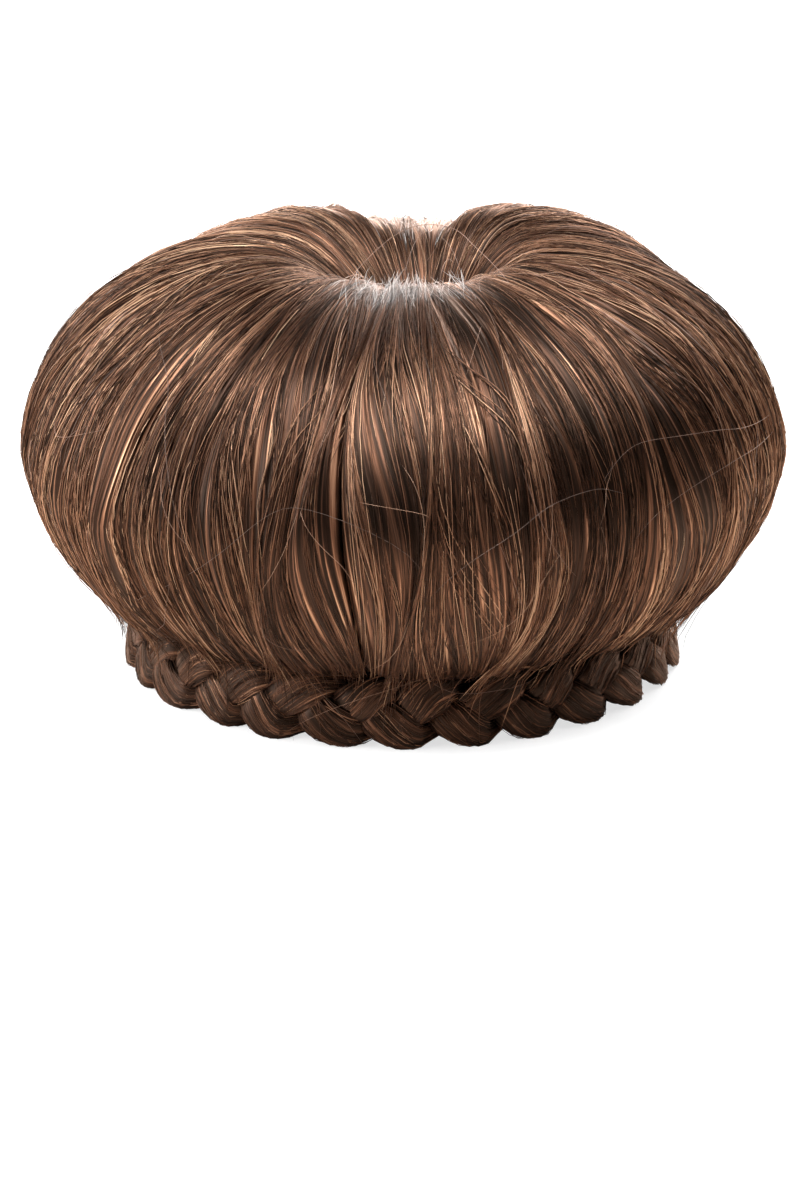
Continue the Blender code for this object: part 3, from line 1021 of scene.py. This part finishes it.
def makePlaitStrand(letter, phase):
    # a closed tube round the foot with grooves that run along the strand, every other side raised
    rings, sides = plait["periods"] * plait["ringsPerPeriod"], plait["sides"]
    seeded = np.random.default_rng(300 + ord(letter))
    turn = (2 * np.pi * np.arange(rings) / rings)[:, None]
    side = np.arange(sides)[None, :]
    around = 2 * np.pi * side / sides
    run = turn * plait["ringRadius"]
    total = 2 * np.pi * plait["ringRadius"]
    knotTotal = round(total / plait["grooveKnots"])
    knots = seeded.uniform(-1, 1, (sides, knotTotal + 2))
    knots[:, knotTotal:] = knots[:, :2]
    groove = knotValue(knots, side, run, total / knotTotal) + plait["raised"] * (-1.0) ** side
    points = plaitPoint(turn, around, phase, plait["groove"] * groove)
    piece = makeGridPiece(f"braid_strand_{letter}_laid", points, plaitHair, closedAlong=True)
    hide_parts(f"braid_strand_{letter}")
    # a random tone for each side, less the painted shade right of the front
    tone = plait["tone"] + seeded.normal(0, plait["toneSpread"], sides)[None, :] - plaitPaintedShade(turn)
    addFloats(piece, "tone", tone)
    addFloats(piece, "sheen", np.zeros(rings * sides))
    lay = np.stack(np.broadcast_arrays(around * plait["layRadius"], run, phase * plait["layShift"]), -1)
    addVectors(piece, "lay", lay)


plaitHairs = {
    "count": 950,
    "points": 10,
    "length": (8.0, 24.0),
    "around": 1.7,  # radians either side of straight out
    "slant": 0.30,
    "lift": (0.06, 0.32),
    "ripple": 0.05,
    "rippleWaves": 9,
    "sunk": 0.1,
    "halfWidth": (0.045, 0.10),
    "toneShift": -0.09,
}


def makePlaitHairs(letter, phase):
    # loose hairs along a strand of the plait, on the side of it that shows
    seeded = np.random.default_rng(400 + ord(letter))
    each = (plaitHairs["count"], 1)
    along = np.linspace(0, 1, plaitHairs["points"])[None, :]
    length = seeded.uniform(*plaitHairs["length"], each) / plait["ringRadius"]
    turn = seeded.uniform(0, 2 * np.pi, each) + length * along
    around = seeded.uniform(-plaitHairs["around"], plaitHairs["around"], each)
    around = around + seeded.normal(0, plaitHairs["slant"], each) * (along - 0.5)
    least, more = plaitHairs["lift"]
    lift = least + more * seeded.uniform(0, 1, each) ** 2
    lift = lift + seeded.normal(0, plaitHairs["ripple"], each) * np.sin(along * plaitHairs["rippleWaves"])
    sink = np.sin(np.pi * along).clip(0)
    lift = lift * sink**0.4 - plaitHairs["sunk"] * (1 - sink**0.5)
    paths = plaitPoint(turn, around, phase, lift)
    out = paths - plaitPoint(turn, around, phase, lift - 1.0)
    out /= np.linalg.norm(out, axis=2, keepdims=True) + 1e-12
    halfWidth = seeded.uniform(*plaitHairs["halfWidth"], each) * tapered(along) * mm
    paths[..., 2] = np.maximum(paths[..., 2], overFloor * mm)
    # less the painted shade right of the front
    tones = drawTones(seeded, each, plaitHairs["toneShift"]) - plaitPaintedShade(turn)
    makeStrands(f"braid_strand_{letter}_hairs", paths, out, halfWidth, tones, 0.0, looseHair)


for index, letter in enumerate("abc"):
    phase = 2 * math.pi * index / 3
    makePlaitStrand(letter, phase)
    makePlaitHairs(letter, phase)
print("plait ready")


# Frayed tips that hang over the plait from the hem

tips = {
    "clumps": 260,
    "perClump": 11,
    "clumpWidth": 1.5,  # degrees
    "drawn": (1.15, 0.6),  # a clump's width at its start, and how much of it is gone at its end
    "points": 11,
    "leave": (4.0, 12.0),  # where they leave the bun, millimetres before the end of its profile
    "rooted": (8.0, 24.0),  # how much of each lies on the bun
    "past": (-8.0, -0.5),  # how far past the end of the profile a clump ends
    "scatter": 1.2,  # how far each tip's leaving and end lie from its clump's
    "longer": (5.0, 0.07),  # this much longer for this share of the tips
    "lift": (0.15, 0.5),
    "lean": (0.12, 0.06),  # of a clump and of a tip
    "curl": 0.010,
    "droop": 0.022,
    "sweep": (-0.28, 24.0, 20.0),  # the tips about this azimuth, this far to both sides, lean to the left
    "outside": (6.0, 13.2),  # they pass the plait this far outside its ring, below this height
    "halfWidth": (0.045, 0.10),
    "tone": (-0.02, 0.07),
}


def makeTips():
    # each lies on the bun, then goes on straight along the profile, drooping as the square of its
    # length and curling sideways; a clump's tips draw together towards their ends
    seeded = np.random.default_rng(500)
    clump = np.repeat(np.arange(tips["clumps"]), tips["perClump"])
    each, eachClump = (len(clump), 1), (tips["clumps"], 1)
    along = np.linspace(0, 1, tips["points"])[None, :]
    middle = seeded.uniform(0, 360, eachClump)[clump]
    width, gone = tips["drawn"]
    label = middle + seeded.normal(0, tips["clumpWidth"], each) * (width - gone * along)
    clumpLeave = seeded.uniform(*tips["leave"], eachClump)[clump]
    leave = bunRun - clumpLeave - seeded.normal(0, tips["scatter"], each)
    first = leave - seeded.uniform(*tips["rooted"], each)
    past = seeded.uniform(*tips["past"], eachClump)[clump] + seeded.normal(0, tips["scatter"], each)
    longer, share = tips["longer"]
    past = past + longer * (seeded.uniform(0, 1, each) < share)
    run = first + (bunRun + past - first) * along
    beyond = (run - leave).clip(0)
    least, more = tips["lift"]
    lift = least + more * seeded.uniform(0, 1, each) * along
    base = hairPoint(label, np.minimum(run, leave), lift)
    before = hairPoint(label, leave - 0.5, lift[:, -1:])
    after = hairPoint(label, leave, lift[:, -1:])
    heading = (after - before) / np.linalg.norm(after - before, axis=2, keepdims=True)
    angle = np.radians(label)
    sideways = np.stack([np.cos(angle), np.sin(angle), angle * 0], -1)
    clumpLean, ownLean = tips["lean"]
    lean = seeded.normal(0.0, clumpLean, eachClump)[clump] + seeded.normal(0.0, ownLean, each)
    sweep, *swept = tips["sweep"]
    lean = lean + sweep * near(middle, *swept)
    curl = seeded.normal(0, tips["curl"], each) * beyond**2 + lean * beyond
    paths = base + heading * beyond[..., None] * mm + sideways * curl[..., None] * mm
    paths[..., 2] -= tips["droop"] * beyond**2 * mm
    # none goes through the plait: below its top they stay outside it
    radial = np.hypot(paths[..., 0], paths[..., 1])
    outside, below = tips["outside"]
    keep = (plait["ringRadius"] + outside) * mm
    push = np.where(paths[..., 2] < below * mm, np.maximum(radial, keep) / radial, 1.0)
    paths[..., :2] *= push[..., None]
    paths[..., 2] = np.maximum(paths[..., 2], overFloor * mm)
    halfWidth = seeded.uniform(*tips["halfWidth"], each) * tapered(along) * mm
    shift, spread = tips["tone"]
    tones = drawTones(seeded, each, shift + seeded.normal(0, spread, eachClump)[clump])
    out = np.broadcast_to(bunOut(label, leave), paths.shape)
    makeStrands("hem_tips", paths, out, halfWidth, tones, 0.0, looseHair)


makeTips()
print("hem tips ready")


# Short frizz on the crest, with curled ends; each hair takes a random share of the painted sheen

frizz = {
    "count": (700, 180),
    "points": 9,
    "spread": (0.52, 1.5, 0.55),  # shares of the patch's width, their limit, and of its length
    "length": (3.5, 9.0),
    "before": 3.0,  # the hairs start about this far in front of their patch's middle
    "raised": 7,  # the power of a hair's random share of the curl, so that few stand up
    "lift": (0.12, 0.4),
    "curl": 3.2,
    "aside": (0.9, 5.0),  # degrees that a lying and a raised hair turn to one side
    "halfWidth": (0.034, 0.064),
}


def makeFrizz():
    # each lies along the hair from in front of the crest, and past the crest lifts off it as a power
    # of its share, curling to one side
    seeded = np.random.default_rng(600)
    along = np.linspace(0, 1, frizz["points"])[None, :]
    wideSpread, limit, longSpread = frizz["spread"]
    lying, raisedAside = frizz["aside"]
    least, more = frizz["lift"]
    paths, outs, tones = [], [], []
    for (azimuth, wide, place, long, _), count in zip(paintedSheenPatches, frizz["count"]):
        each = (count, 1)
        label = azimuth + seeded.normal(0, wideSpread, each).clip(-limit, limit) * wide
        length = seeded.uniform(*frizz["length"], each)
        first = place + frizz["before"] + seeded.normal(0, long * longSpread, each)
        run = first - length * along
        raised = seeded.uniform(0, 1, each) ** frizz["raised"]
        lift = least + more * seeded.uniform(0, 1, each) + frizz["curl"] * raised * along**2.5
        label = label + seeded.normal(0, lying, each) * (along - 0.3)
        label = label + seeded.normal(0, raisedAside, each) * raised * along**2
        paths.append(hairPoint(label, run, lift * np.sin(np.pi * along.clip(0, 0.5)) ** 0.5))
        outs.append(bunOut(label, run))
        tones.append(seeded.uniform(0.1, 1.0, each))
    paths, outs, tones = np.concatenate(paths), np.concatenate(outs), np.concatenate(tones)
    halfWidth = seeded.uniform(*frizz["halfWidth"], tones.shape) * tapered(along) * mm
    # the same random values give each hair its tone and its share of painted sheen
    makeStrands("crest_frizz", paths, outs, halfWidth, tones, tones, looseHair)


makeFrizz()
print("crest frizz ready")


# Flyaway hairs: a few long ones in their own places, and short ones all round

flyaways = {
    "count": 190,
    "points": 24,
    "length": (9.0, 34.0),
    "slant": 0.36,  # radians off the way the hair is combed
    "turning": 0.022,  # radians to the millimetre
    "start": (16, 118),
    "kept": (4, 0.5),  # they stay this far from the dimple's floor and from the hem
    "leastRadius": 10,
    "height": (0.3, 1.7),
    "evened": 6,
    "halfWidth": (0.038, 0.062),
    "root": 0.3,
    "tone": (0.5, 0.92),
    # a little painted sheen on every flyaway
    "sheen": 0.1,
}
# Azimuth, run and height above the hair of the points that each lying hair passes
lyingHairs = (
    ((81, 39, 0.2), (64, 49, 1.4), (65, 61, 1.5), (70, 69, 1.3), (75, 77, 0.4)),
    ((80, 45, 0.2), (71, 55, 1.2), (74, 65, 1.8), (77, 75, 1.6), (79, 82, 0.6)),
    (
        *((84, 89, 0.3), (66, 86, 1.9), (57, 84.5, 1.6), (49, 83, 1.2)),
        *((39, 81, 1.2), (33, 82.5, 1.6), (29, 87, 0.3)),
    ),
    ((86, 92, 0.2), (70, 90, 1.5), (58, 89, 1.8), (47, 90, 1.5), (38, 94, 0.9), (33, 100, 0.2)),
    (
        *((-56, 121, 0.2), (-37, 108, 1.2), (-27, 99, 1.5), (-21, 92.5, 1.5)),
        *((-16, 88, 1.2), (-9, 89, 1.3), (0, 95, 1.0), (5, 101, 0.2)),
    ),
    ((-62, 60, 0.1), (-50, 66, 1.2), (-40, 75, 1.5), (-33, 87, 1.2), (-30, 100, 0.2)),
    ((5, 104, 0.2), (9, 96, 1.2), (17, 90, 1.5), (27, 87, 1.3), (33, 89, 0.2)),
)
# Places in millimetres of the points that each standing hair passes: arcs over the dimple, then hairs
# that cross the plait
standingHairs = (
    (
        *((-11.5, -26.0, 74.5), (-8.4, -23.0, 78.0), (-5.8, -20.0, 80.0), (-1.1, -14.0, 83.2)),
        *((3.4, -10.5, 84.0), (8.5, -10.5, 83.2), (10.8, -12.0, 82.4), (12.3, -15.0, 80.5)),
        *((15.8, -19.0, 79.2), (20.0, -25.5, 74.8)),
    ),
    (
        *((-0.3, -26.0, 75.5), (1.7, -19.0, 81.9), (4.4, -14.0, 83.5), (7.0, -14.0, 81.9)),
        *((9.0, -17.0, 80.3), (11.0, -24.5, 75.6)),
    ),
    ((6.2, -27.0, 75.6), (6.9, -25.0, 79.2), (8.0, -23.0, 80.4), (8.9, -22.5, 79.6)),
    (
        *((0.9, -53.5, 19.5), (4.3, -55.5, 14.5), (9.4, -56.0, 11.9), (17.2, -54.0, 12.1)),
        *((22.5, -51.5, 12.7), (26.0, -47.5, 15.2)),
    ),
    (
        *((-20.1, -47.0, 1.5), (-17.4, -50.5, 4.7), (-12.1, -53.0, 8.3), (-3.4, -55.0, 12.1)),
        *((5.1, -56.5, 15.6), (11.9, -57.5, 18.4), (20.5, -56.5, 22.4), (26.0, -56.0, 26.0)),
    ),
    (
        *((-28.0, -56.5, 30.5), (-27.0, -56.0, 27.0), (-20.7, -54.0, 19.0), (-13.8, -53.0, 10.9)),
        *((-9.5, -52.5, 5.3), (-6.5, -51.5, 0.5)),
    ),
)


def smoothPath(passed, count):
    # a cubic through the points: each stretch leaves and arrives along the line that joins the
    # points on either side
    passed = np.asarray(passed, float)
    slope = np.gradient(passed, axis=0)
    place = np.linspace(0, len(passed) - 1, count)
    here = np.minimum(place.astype(int), len(passed) - 2)
    t = (place - here)[:, None]
    start = passed[here] * (1 + 2 * t) * (1 - t) ** 2 + slope[here] * t * (1 - t) ** 2
    return start + passed[here + 1] * t**2 * (3 - 2 * t) + slope[here + 1] * t**2 * (t - 1)


def evened(paths, times):
    # each inner point moves halfway to the middle of its two neighbours, this many times
    for _ in range(times):
        middles = (paths[:, :-2] + paths[:, 2:]) / 2
        paths = np.concatenate([paths[:, :1], (paths[:, 1:-1] + middles) / 2, paths[:, -1:]], 1)
    return paths


def makeFlyaways():
    # the short ones start off at a slant to the combing and turn evenly along their length
    seeded = np.random.default_rng(700)
    each, points = (flyaways["count"], 1), flyaways["points"]
    along = np.linspace(0, 1, points)[None, :]
    length = seeded.uniform(*flyaways["length"], each)
    heading = seeded.normal(0, flyaways["slant"], each)
    heading = heading + seeded.normal(0, flyaways["turning"], each) * length * along
    run = seeded.uniform(*flyaways["start"], each) + np.cumsum(np.cos(heading), 1) * length / points
    fromDimple, fromHem = flyaways["kept"]
    run = run.clip(fromDimple, bunRun - fromHem)
    aside = np.cumsum(np.sin(heading), 1) * length / points
    radius = np.interp(run, evenRun, evenRadius).clip(flyaways["leastRadius"])
    label = seeded.uniform(0, 360, each) + np.degrees(aside / radius)
    lift = 0.1 + seeded.uniform(*flyaways["height"], each) * np.sin(np.pi * along**0.8)
    paths, outs = [hairPoint(label, run, lift)], [bunOut(label, run)]
    for hair in lyingHairs:
        label, run, lift = smoothPath(hair, points).T[:, None]
        paths.append(hairPoint(label, run, lift))
        outs.append(bunOut(label, run))
    for hair in standingHairs:
        paths.append(smoothPath(hair, points)[None] * mm)
        outs.append(np.broadcast_to((0.0, -1.0, 0.0), (1, points, 3)))
    paths, outs = evened(np.concatenate(paths), flyaways["evened"]), np.concatenate(outs)
    each = (len(paths), 1)
    halfWidth = seeded.uniform(*flyaways["halfWidth"], each) * tapered(along, flyaways["root"]) * mm
    tones = seeded.uniform(*flyaways["tone"], each)
    makeStrands("flyaway_hairs", paths, outs, halfWidth, tones, flyaways["sheen"], looseHair)


makeFlyaways()
print("flyaway hairs ready")


# The net cap inside, and the comb

cap = {
    "radius": 40.33,
    "top": 41.0,
    "wall": 1.8,
    "fullness": 2.5,
    "rows": 46,
    "columns": 110,
    "hemRings": (0.72, 0.45, 0.2, 0.0),  # shares of the hem's height
    "weftSpacing": 4.2,
    "weftHeight": 0.25,
    "plain": (6, 1),  # no rows of sewn hair within this radius or this height
    "netCell": 1.1,
    "netDistortion": 0.4,
    "netBump": 0.0003,  # metres
    "netRoughness": 0.85,
    "netColours": ((0.55, (0.008, 0.005, 0.004)), (0.85, (0.055, 0.034, 0.026))),
}


def capSide(offset):
    # the dome is a quarter superellipse above the hem, and a plain cylinder below it
    hem, rings = bun["hemHeight"], np.array(cap["hemRings"])
    out, up = quarter(np.linspace(0.002, 1, cap["rows"] - len(rings)), cap["fullness"])
    radius = np.concatenate([(cap["radius"] + offset) * out, np.full(len(rings), cap["radius"] + offset)])
    return radius, np.concatenate([hem + (cap["top"] + offset - hem) * up, hem * rings])


def makeCap():
    # the outer side down to the foot and the inner side back up, turned once round; rows of sewn
    # hair stand out of the inner side as small waves
    outRadius, outHeight = capSide(0.0)
    inRadius, inHeight = capSide(-cap["wall"])
    inLength = np.concatenate([[0], np.cumsum(np.hypot(np.diff(inRadius), np.diff(inHeight)))])
    leastRadius, leastHeight = cap["plain"]
    weft = cap["weftHeight"] * np.maximum(0, np.sin(inLength / cap["weftSpacing"] * 2 * np.pi))
    inRadius = inRadius - weft * (inRadius > leastRadius) * (inHeight > leastHeight)
    radius = np.concatenate([outRadius, inRadius[::-1]])[:, None]
    height = np.concatenate([outHeight, inHeight[::-1]])[:, None]
    length = np.concatenate([inLength, inLength[::-1]])[:, None]
    angle = (2 * np.pi * np.arange(cap["columns"]) / cap["columns"])[None, :]
    piece = makeGridPiece("cap_net", turnedPoint(radius, angle, height) * mm, capNet)
    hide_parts("foundation_cap")
    lay = np.stack(np.broadcast_arrays(angle * cap["radius"], length, angle * 0), -1)
    addVectors(piece, "lay", lay)


def makeNetFinish():
    # two sets of slanting waves make the net's cells
    material, tree, shader = newMaterial("capNet", {"Roughness": cap["netRoughness"]})
    layer = addNode(tree, "Attribute", {"attribute_name": "lay"})
    both = addNode(tree, "Math", {"operation": "MAXIMUM"})
    waveInputs = {"Scale": 1 / cap["netCell"] / 3, "Distortion": cap["netDistortion"]}
    for socket, turn in enumerate((45, -45)):
        turned = addNode(tree, "Mapping", inputs={"Rotation": (0.0, 0.0, math.radians(turn))})
        join(layer, "Vector", turned, "Vector")
        wave = addNode(tree, "TexWave", inputs=waveInputs)
        join(turned, "Vector", wave, "Vector")
        join(wave, "Fac", both, socket)
    ramp = addRamp(tree, cap["netColours"])
    join(both, 0, ramp, "Fac")
    join(ramp, "Color", shader, "Base Color")
    addBump(tree, both, 0, cap["netBump"], shader)
    return material


combFinish = {
    "cloudScale": 260.0,
    "colours": ((0.0, (0.036, 0.020, 0.014)), (1.0, (0.056, 0.033, 0.023))),
    "roughness": {"To Min": 0.26, "To Max": 0.40},
    "bump": 0.00004,  # metres
}


def makeCombFinish():
    # moulded plastic with a faint unevenness
    material, tree, shader = newMaterial("mouldedComb", {})
    cloud = addNode(tree, "TexNoise", inputs={"Scale": combFinish["cloudScale"]})
    join(addNode(tree, "TexCoord"), "Object", cloud, "Vector")
    ramp = addRamp(tree, combFinish["colours"])
    join(cloud, "Fac", ramp, "Fac")
    join(ramp, "Color", shader, "Base Color")
    gloss = addNode(tree, "MapRange", inputs=combFinish["roughness"])
    join(cloud, "Fac", gloss, "Value")
    join(gloss, "Result", shader, "Roughness")
    addBump(tree, cloud, "Fac", combFinish["bump"], shader)
    return material


capNet = makeNetFinish()
makeCap()
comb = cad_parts["comb"]
comb.data.materials.clear()
comb.data.materials.append(makeCombFinish())
print("cap and comb ready")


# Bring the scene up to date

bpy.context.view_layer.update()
